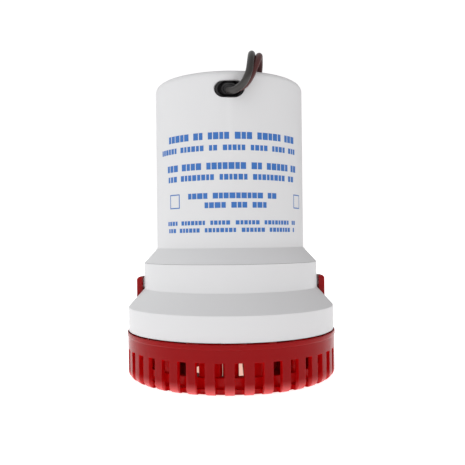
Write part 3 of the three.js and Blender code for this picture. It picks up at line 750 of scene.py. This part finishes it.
SPIGOT_R = 12.0
FLANGE_R = 15.0
HOSE_BORE_R = 11.0
THROAT_R = 10.4
BARB = {"count": 3, "first_y": 66, "pitch": 9.5, "length": 8, "root_r": 13.4, "crest_r": 14.6}
SCREW_R = 1.8
POST_R = 4.0
POST_TOP = 58.0
UNDER_BODY = 10
PLATE_SCREWS = [around(39.5, degrees) for degrees in (95, 165, 235, 305)]
MOTOR_FEET = [around(27, degrees) for degrees in (0, 120, 240)]


def along_y(thing, y):
    """Turns a lathe's axis from Z to Y and puts it on the nozzle's axis, starting at y."""
    return place(thing, move=(NOZZLE_X, y, NOZZLE_Z), tilt=("X", -90))


def disc(name, r, bottom, top, segments=48):
    return lathe(name, [(0, bottom), (r, bottom), (r, top), (0, top)], segments)


def pump_body():
    inner_skirt = SKIRT_R - SHELL_WALL
    inner_mid = MID_R - SHELL_WALL
    profile = rounded([
        (SEAL["hole_r"], CHAMBER_BOTTOM), (CORE_R, CHAMBER_BOTTOM), (CORE_R, SHOULDER_TOP),
        (inner_skirt, SHOULDER_BOTTOM), (inner_skirt, BODY_BOTTOM), (SKIRT_R, BODY_BOTTOM, 0.5),
        (SKIRT_R, FLARE2_BOTTOM, 0.6), (MID_R, FLARE2_TOP, 0.8), (MID_R, BODY_TOP, 0.25),
        (inner_mid, BODY_TOP), (inner_mid, LEDGE_TOP), (SOCKET_R, LEDGE_TOP), (SOCKET_R, LEDGE_BOTTOM),
        (inner_mid, LEDGE_BOTTOM - 0.6), (inner_mid, DECK), (SEAL["outer_r"], DECK),
        (SEAL["outer_r"], SEAL["top"]), (SEAL["pocket_r"], SEAL["top"]),
        (SEAL["pocket_r"], SEAL["floor"]), (SEAL["hole_r"], SEAL["floor"]),
    ], 0.3, steps=5)
    body = lathe("pump_body_shell", profile, 180)
    add(body, along_y(disc("boss", BOSS_R, 0, BOSS_END - BOSS_START, 72), BOSS_START))
    for x, y, _ in MOTOR_FEET:
        add(body, place(disc("post", POST_R, DECK - 1, POST_TOP, 32), (x, y, 0)))
    for turn in (0, 180):
        low = (BACKING["inner"], -BACKING["half_width"], CEILING)
        high = (BACKING["outer"], BACKING["half_width"], LEDGE_TOP - 0.01)
        add(body, place(block("backing", low, high), turn=turn))
    cut(body, disc("plate_seat", CORE_R + 0.01, UNDER_BODY, CHAMBER_BOTTOM, 90))
    cut(body, disc("below", 70, UNDER_BODY, BODY_BOTTOM, 90))
    for turn in (0, 180):
        low = (LATCH_CHANNEL["inner"], -LATCH_CHANNEL["half_width"], UNDER_BODY)
        high = (LATCH_CHANNEL["outer"], LATCH_CHANNEL["half_width"], LATCH_CHANNEL["top"])
        cut(body, place(block("channel", low, high), turn=turn))
    cut(body, prism("chamber", chamber_outline(), 20, CEILING))
    cut(body, along_y(disc("spigot_bore", SPIGOT_R + 0.3, 0, 30, 72), 30))
    for x, y, _ in PLATE_SCREWS:
        cut(body, place(disc("screw_hole", SCREW_R, 20, 38, 20), (x, y, 0)))
    for x, y, _ in MOTOR_FEET:
        cut(body, place(disc("post_hole", SCREW_R, 50, 70, 20), (x, y, 0)))
    return piece(body, HOUSING, "pump", ["pump_body"], 30)


def chamber_outline():
    """The spiral from the tongue round to the outlet, then straight along +Y."""
    steps = 72
    first = CHAMBER["start_degrees"]
    outline = []
    for k in range(steps + 1):
        t = k / steps
        r = CHAMBER["start_r"] + CHAMBER["growth"] * t
        outline.append(around(r, first + (360 - first) * t)[:2])
    tongue_x = outline[0][0]
    outline.append((CHAMBER["start_r"] + CHAMBER["growth"], CHAMBER["end_y"]))
    outline.append((tongue_x, CHAMBER["end_y"]))
    return outline


def discharge_nozzle():
    start, flange_start, flange_end = nozzle_low.y, BOSS_END + 0.3, BOSS_END + 3
    root = BARB["root_r"]
    barbs = []
    for k in range(BARB["count"]):
        y = BARB["first_y"] + BARB["pitch"] * k
        barbs += [(root, y, 0.3), (BARB["crest_r"], y, 0.45), (root, y + BARB["length"], 0.3)]
    profile = rounded([
        (THROAT_R, start), (SPIGOT_R, start), (SPIGOT_R, flange_start), (FLANGE_R, flange_start),
        (FLANGE_R, flange_end), (root, flange_end), *barbs, (root - 0.5, NOZZLE_END),
        (HOSE_BORE_R, NOZZLE_END), (HOSE_BORE_R, flange_end), (THROAT_R, flange_start),
    ], 0.35, steps=4)
    nozzle = along_y(lathe("hose_nozzle", profile, 120), 0)
    return piece(nozzle, HOUSING, "pump", ["discharge_nozzle"], 30)


pump_body()
discharge_nozzle()


# ------------------------------------------------------------------ strainer
BASKET_R = 53.9
LIP_R = 54.2
BASKET_WALL = 2.3
BASKET_FILLET = 3.6
BASKET_FLOOR = 2.2
LIP_HEIGHT = 2.4
SLOT_COUNT = 38
SLOT_WIDTH = 4.4
SLOT_TOP = 14.9
SLOT_INNER_R = 49.5
SLOT_PHASE = 3.8
FRONT = -90
GRATE_R = 22
GRATE_BARS = 5
GRATE_PITCH = 6.7
GRATE_BAR_WIDTH = 1.5
LATCH_INNER = 45.9
LATCH_OUTER = 49.0
LATCH_HALF_WIDTH = 5.7
LATCH_PIVOT_Z = 11.0
LATCH_FOOT_TOP = 9.4
NOSE_BOTTOM = 31.5
NOSE_DEPTH = 0.75
IN_FLOOR = 1.0
SEAT_RING = {"inner": 44.1, "outer": 46.5, "top": 6.9}
SEAT_POST = {"count": 12, "inner": 40.8, "outer": 44.6, "half_width": 5.1, "phase": -13.2}
PILLAR = {"count": 4, "circle_r": 40.8, "r": 3.7, "hole_r": 2.2, "phase": -0.5}


def strainer_sheet():
    """The basket's outer skin from its rim to the middle of its floor, with the slots left open."""
    top = basket_high.z
    lip_bottom = top - LIP_HEIGHT
    fillet = [around(BASKET_FILLET, -90 * k / 8) for k in range(9)]
    wall = [(LIP_R - 0.4, top), (LIP_R - 0.05, top - 0.15), (LIP_R, top - 0.5), (LIP_R, lip_bottom + 0.5),
            (LIP_R - 0.12, lip_bottom + 0.15), (BASKET_R, lip_bottom - 0.1), (BASKET_R, SLOT_TOP)]
    opened = [(BASKET_R, SLOT_TOP - 5.6), (BASKET_R - 0.001, BASKET_FILLET)]
    opened += [(BASKET_R - BASKET_FILLET + x, BASKET_FILLET + z) for x, z, _ in fillet[1:]]
    opened += [(SLOT_INNER_R, 0)]
    floor = [(40, 0), (0, 0)]
    rows = wall + opened + floor
    first_open, last_open = len(wall) - 1, len(wall) + len(opened) - 1

    half_slot = math.degrees(SLOT_WIDTH / 2 / BASKET_R)
    pitch = 360 / SLOT_COUNT
    slot_cells, rib_cells = 3, 4
    angles, is_slot = [], []
    for n in range(SLOT_COUNT):
        centre = FRONT + SLOT_PHASE + pitch * n
        for k in range(slot_cells):
            angles.append(centre - half_slot + 2 * half_slot * k / slot_cells)
            is_slot.append(True)
        for k in range(rib_cells):
            angles.append(centre + half_slot + (pitch - 2 * half_slot) * k / rib_cells)
            is_slot.append(False)

    points, faces = [], []
    for r, z in rows[:-1]:
        points += [around(r, angle, z) for angle in angles]
    points.append((0, 0, 0))
    count, pole = len(angles), len(points) - 1
    for row in range(len(rows) - 1):
        for k in range(count):
            if is_slot[k] and first_open <= row < last_open:
                continue
            n = (k + 1) % count
            if row == len(rows) - 2:
                faces.append([row * count + k, pole, row * count + n])
            else:
                faces.append([row * count + k, (row + 1) * count + k, (row + 1) * count + n, row * count + n])
    sheet = new_mesh("strainer", points, faces)
    shape = bmesh.new()
    shape.from_mesh(sheet.data)
    loose = [v for v in shape.verts if not v.link_faces]
    bmesh.ops.delete(shape, geom=loose, context="VERTS")
    bmesh.ops.recalc_face_normals(shape, faces=shape.faces)
    lowest = min(shape.faces, key=lambda f: f.calc_center_median().z)
    if lowest.normal.z > 0:
        bmesh.ops.reverse_faces(shape, faces=shape.faces)
    shape.to_mesh(sheet.data)
    shape.free()
    return sheet


def grate_opening():
    """The open floor under the intake collar, with bars left standing from front to back."""
    opening = disc("grate_opening", GRATE_R, -2, BASKET_FLOOR + 2, 96)
    bars = []
    for n in range(GRATE_BARS):
        x = (n - (GRATE_BARS - 1) / 2) * GRATE_PITCH
        low = (x - GRATE_BAR_WIDTH / 2, -GRATE_R - 1, -3)
        bars.append(block("bar", low, (x + GRATE_BAR_WIDTH / 2, GRATE_R + 1, BASKET_FLOOR + 3)))
    return cut(opening, *bars)


def strainer():
    basket = strainer_sheet()
    thick = basket.modifiers.new("wall", "SOLIDIFY")
    thick.thickness = BASKET_WALL * MM
    thick.offset = -1
    thick.use_even_offset = True
    apply_modifiers(basket)
    soften(basket, 0.28, angle=50)
    top = basket_high.z
    inside = []
    inner, outer, seat = SEAT_RING["inner"], SEAT_RING["outer"], SEAT_RING["top"]
    ring = [(inner, IN_FLOOR), (outer, IN_FLOOR), (outer, seat, 0.4), (inner, seat, 0.4)]
    inside.append(lathe("seat_ring", rounded(ring, 0, steps=3), 120))
    for n in range(SEAT_POST["count"]):
        low = (SEAT_POST["inner"], -SEAT_POST["half_width"], IN_FLOOR)
        post = block("post", low, (SEAT_POST["outer"], SEAT_POST["half_width"], top))
        turn = FRONT + SEAT_POST["phase"] + 360 / SEAT_POST["count"] * n
        inside.append(place(soften(post, 0.5), turn=turn))
    hole, r = PILLAR["hole_r"], PILLAR["r"]
    for n in range(PILLAR["count"]):
        x, y, _ = around(PILLAR["circle_r"], FRONT + PILLAR["phase"] + 360 / PILLAR["count"] * n)
        profile = rounded([(hole, IN_FLOOR), (r, IN_FLOOR), (r, top - 0.8, 0.4), (hole, top - 0.8, 0.3)], 0)
        inside.append(place(lathe("pillar", profile, 32), (x, y, 0)))
        cut(basket, place(disc("screw_way", hole, -3, 5, 32), (x, y, 0)))
    for side in (0, 180):
        low = (LATCH_INNER - 1, -LATCH_HALF_WIDTH, IN_FLOOR)
        foot = block("latch_foot", low, (LATCH_OUTER - 0.2, LATCH_HALF_WIDTH, LATCH_FOOT_TOP))
        inside.append(place(soften(foot, 0.4), turn=side))
    add(basket, *inside)
    cut(basket, grate_opening())
    return piece(basket, RED, "strainer", ["strainer_basket"], 30)


def latch(name, node, turn):
    """A tab on a round foot, with a nose on its outer side, drawn in radius and height."""
    inner, outer, top = LATCH_INNER, LATCH_OUTER, box_mm(node)[1].z
    r = (outer - inner) / 2
    foot = [around(r, -180 + 180 * k / 12) for k in range(13)]
    outline = [(inner + r + x, LATCH_PIVOT_Z + z) for x, z, _ in foot]
    nose = outer + NOSE_DEPTH
    outline += [(outer, NOSE_BOTTOM), (nose, NOSE_BOTTOM), (nose, NOSE_BOTTOM + 1), (outer, NOSE_BOTTOM + 4)]
    tip = [(outer, 45), (outer, top - 1.1, 0.8), (outer - 1.1, top, 0.8), (inner, top, 0.4), (inner, 45)]
    outline += rounded(tip, 0, closed=False)[1:-1]
    arm = prism(name, outline, -LATCH_HALF_WIDTH, LATCH_HALF_WIDTH)
    soften(arm, 0.35, angle=50)
    place(arm, tilt=("X", 90))
    return piece(place(arm, turn=turn), RED, node, [node], 30)


strainer()
latch("latch_tab_left", "latch_left", 180)
latch("latch_tab_right", "latch_right", 0)


# ------------------------------------------------------------------ inlet plate
PLATE_BOTTOM = 23.6
PLATE_TOP = 26.0
EYE_R = 14.0
COLLAR_INNER = 21.5
COLLAR_OUTER = 24.0
PORT = {"count": 8, "span": 25.6, "top": 15, "phase": 2.4}
SCREW_HEAD_R = 3.4


def inlet_plate():
    outer = plate_high.x
    plate = lathe("inlet_plate_disc", rounded([
        (EYE_R, PLATE_BOTTOM, 0.8), (outer, PLATE_BOTTOM, 0.4), (outer, PLATE_TOP, 0.4),
        (EYE_R, PLATE_TOP, 0.8),
    ], 0.3, steps=4), 160)
    collar = lathe("collar", rounded([
        (COLLAR_INNER, plate_low.z, 0.5), (COLLAR_OUTER, plate_low.z, 0.5),
        (COLLAR_OUTER, PLATE_BOTTOM + 0.8), (COLLAR_INNER, PLATE_BOTTOM + 0.8),
    ], 0, steps=4), 120)
    add(plate, collar)
    half = COLLAR_OUTER * math.tan(math.radians(PORT["span"] / 2))
    for n in range(PORT["count"]):
        port = block("port", (COLLAR_INNER - 3.5, -half, 0), (COLLAR_OUTER + 3, half, PORT["top"]))
        soften(port, 1.2, angle=50, segments=4)
        cut(plate, place(port, turn=FRONT + PORT["phase"] + 360 / PORT["count"] * n))
    for x, y, _ in PLATE_SCREWS:
        recess = lathe("recess", [
            (0, 20), (SCREW_HEAD_R, 20), (SCREW_HEAD_R, 24.1), (SCREW_R, 25.5), (SCREW_R, 30), (0, 30),
        ], 32)
        cut(plate, place(recess, (x, y, 0)))
    return piece(plate, INTAKE, "pump", ["inlet_plate"], 30)


inlet_plate()


# ------------------------------------------------------------------ tie round the coiled leads
TIE_INNER = 2.9
TIE_OUTER = 28.7
TIE_TOP = 8.6
TIE_THICKNESS = 0.6
TIE_HALF_WIDTH = 1.8
TIE_DEGREES = 135


def coil_tie():
    """A nylon strap round the turns and the turned-in lead, drawn in radius and height."""
    low, high, top = TIE_INNER, TIE_OUTER, TIE_TOP
    strap = prism("coil_tie_strap", rounded([(low, 0), (high, 0), (high, top), (low, top)], 2.6),
                  -TIE_HALF_WIDTH, TIE_HALF_WIDTH)
    bottom = TIE_THICKNESS
    low, high, top = low + TIE_THICKNESS, high - TIE_THICKNESS, top - TIE_THICKNESS
    cut(strap, prism("inside", rounded([(low, bottom), (high, bottom), (high, top), (low, top)], 2.2), -3, 3))
    head = block("head", (28.3, 2.6, -2.4), (31.2, 6.8, 2.4))
    tail = prism("tail", [(29.5, 6.5), (30.3, 6.5), (31.6, 11.6), (31.4, 12.2), (30.9, 12.1)], -1.5, 1.5)
    add(strap, soften(head, 0.45), tail)
    soften(strap, 0.12)
    place(strap, tilt=("X", 90))
    place(strap, move=(COIL_CENTRE.x, COIL_CENTRE.y, 0), turn=TIE_DEGREES)
    return piece(strap, NYLON, "strainer", ["coil_tie"], 30)


coil_tie()


# ------------------------------------------------------------------ print
INK_SINK = 0.1
INK_RISE = 0.03
GROUP_SPACE = 2.2
SQUARE_Z = 88.2
SQUARE_HALF = 3.2
SQUARE_LINE = 0.5
SQUARE_DEGREES = (-44, 60)


def ink_bar(points, faces, degrees, width, z, height):
    """One closed, thin bar on the cap's cylinder."""
    inner, outer = CAP_R - INK_SINK, CAP_R + INK_RISE
    low, high = z - height / 2, z + height / 2
    cells = max(1, math.ceil(width / 1.2))
    spread = math.degrees(width / CAP_R)
    first = len(points)
    for k in range(cells + 1):
        angle = FRONT + degrees - spread / 2 + spread * k / cells
        for r, level in ((inner, low), (outer, low), (outer, high), (inner, high)):
            points.append(around(r, angle, level))
    for k in range(cells):
        a, b = first + 4 * k, first + 4 * (k + 1)
        for n in range(4):
            m = (n + 1) % 4
            faces.append([a + n, a + m, b + m, b + n])
    faces.append([first + n for n in (3, 2, 1, 0)])
    faces.append([first + 4 * cells + n for n in range(4)])


def printed_rows():
    """Rows of plain blue bars where the housing carries small print."""
    # Centre height, height of a bar, first and last degree from the front, length of a bar, space between
    # bars, and how many bars each group has in turn.
    rows = [
        (118.2, 3.3, -50, 53, 2.3, 0.45, (5, 2, 4, 3, 5, 3)),
        (112.6, 2.6, -60, 61, 1.7, 0.5, (6, 6, 2, 5, 4, 4, 3)),
        (104.1, 3.2, -52, 55, 2.3, 0.45, (3, 4, 7, 2, 5)),
        (98.9, 2.7, -51, 54, 1.8, 0.5, (3, 8, 6, 8, 8)),
        (90.2, 2.7, -31, 35, 2.3, 0.4, (4, 9, 6)),
        (85.8, 2.7, -18, 25, 2.3, 0.4, (4, 3, 5)),
        (77.6, 2.0, -52, 55, 1.5, 0.45, (4, 7, 5, 6, 8)),
        (74.1, 2.0, -51, 54, 1.5, 0.45, (3, 6, 8, 6, 7)),
    ]
    points, faces = [], []
    for z, height, first, last, length, space, groups in rows:
        degrees, group, n = first, 0, 0
        while degrees < last:
            width = length * (0.8 + 0.4 * ((n * 7 + group * 3) % 5) / 4)
            step = math.degrees(width / CAP_R)
            ink_bar(points, faces, degrees + step / 2, width, z, height)
            degrees += step + math.degrees(space / CAP_R)
            n += 1
            if n == groups[group % len(groups)]:
                degrees += math.degrees(GROUP_SPACE / CAP_R)
                group, n = group + 1, 0
    upright = 2 * SQUARE_HALF + SQUARE_LINE
    across = 2 * SQUARE_HALF - SQUARE_LINE - 0.1
    for degrees in SQUARE_DEGREES:
        for offset in (-SQUARE_HALF, SQUARE_HALF):
            turned = degrees + math.degrees(offset / CAP_R)
            ink_bar(points, faces, turned, SQUARE_LINE, SQUARE_Z, upright)
            ink_bar(points, faces, degrees, across, SQUARE_Z + offset, SQUARE_LINE)
    return piece(new_mesh("print_bars", points, faces), INK, "pump", (), 30)


printed_rows()


# ------------------------------------------------------------------ carried-over CAD nodes
SLOT_LOOKS = {
    "stainless_steel": STEEL, "motor_can_steel": CAN_STEEL, "phenolic": PHENOLIC, "bronze": BRONZE,
    "ferrite": FERRITE, "lamination": LAMINATION, "copper": COPPER, "carbon": CARBON, "ceramic": CERAMIC,
    "rubber": RUBBER, "wet_end_plastic": CREAM, "lead_black_insulation": LEAD_BLACK,
    "lead_brown_insulation": LEAD_BROWN, "tinned_copper": TINNED, "tie_nylon": NYLON,
    "housing_plastic": HOUSING, "strainer_plastic": RED,
}
for entry in frame["record"]["subparts"]:
    node = frame["nodes"][entry["node"]]
    for slot in node.material_slots:
        slot.material = SLOT_LOOKS[entry["material_slot"]]


# ------------------------------------------------------------------ floor and light
FLOOR_R = 6000
FLOOR_SINK = 0.05
FLOOR_SIDES = 64


def add_floor():
    """A round floor, a hair below the strainer's flat underside."""
    mesh = bpy.data.meshes.new("floor")
    outline = [around(FLOOR_R * MM, 360 * k / FLOOR_SIDES, -FLOOR_SINK * MM) for k in range(FLOOR_SIDES)]
    mesh.from_pydata(outline, [], [list(range(FLOOR_SIDES))])
    mesh.materials.append(FLOOR)
    ground = bpy.data.objects.new("floor", mesh)
    bpy.context.scene.collection.objects.link(ground)


SIDE_LIGHT = (0.735, 0.35)
ROOF_LIGHT = 1.25
FRONT_LIGHT = 1.2
BACK_LIGHT = 1.06
LEFT_TINT = (0.985, 0.995, 1.0, 1)
RIGHT_TINT = (1.0, 0.975, 0.98, 1)


def add_light():
    """A bright room that is stronger from the left, the top and the front. The camera sees plain white."""
    world = bpy.data.worlds.new("world")
    world.use_nodes = True
    tree = world.node_tree
    background = tree.nodes["Background"]
    coords = tree.nodes.new("ShaderNodeTexCoord")
    toward = tree.nodes.new("ShaderNodeSeparateXYZ")
    tree.links.new(coords.outputs["Generated"], toward.inputs["Vector"])

    def fade(axis, start, end, low, high):
        return map_range(tree, toward.outputs[axis], start, end, low, high, kind="SMOOTHSTEP")
    room = multiply(tree, fade("X", -0.9, 0.9, *SIDE_LIGHT), fade("Z", 0.1, 0.9, 1.0, ROOF_LIGHT))
    room = multiply(tree, room, fade("Y", -1.0, -0.55, FRONT_LIGHT, 1.0))
    rays = tree.nodes.new("ShaderNodeLightPath")
    backdrop = tree.nodes.new("ShaderNodeMix")
    backdrop.inputs["B"].default_value = BACK_LIGHT
    tree.links.new(rays.outputs["Is Camera Ray"], backdrop.inputs["Factor"])
    tree.links.new(room, backdrop.inputs["A"])
    tree.links.new(backdrop.outputs["Result"], background.inputs["Strength"])
    tint = mix_color(tree, fade("X", -0.9, 0.9, 0.0, 1.0), LEFT_TINT, RIGHT_TINT)
    tree.links.new(tint, background.inputs["Color"])
    bpy.context.scene.world = world
    bpy.context.scene.view_settings.view_transform = "Standard"


add_floor()
add_light()
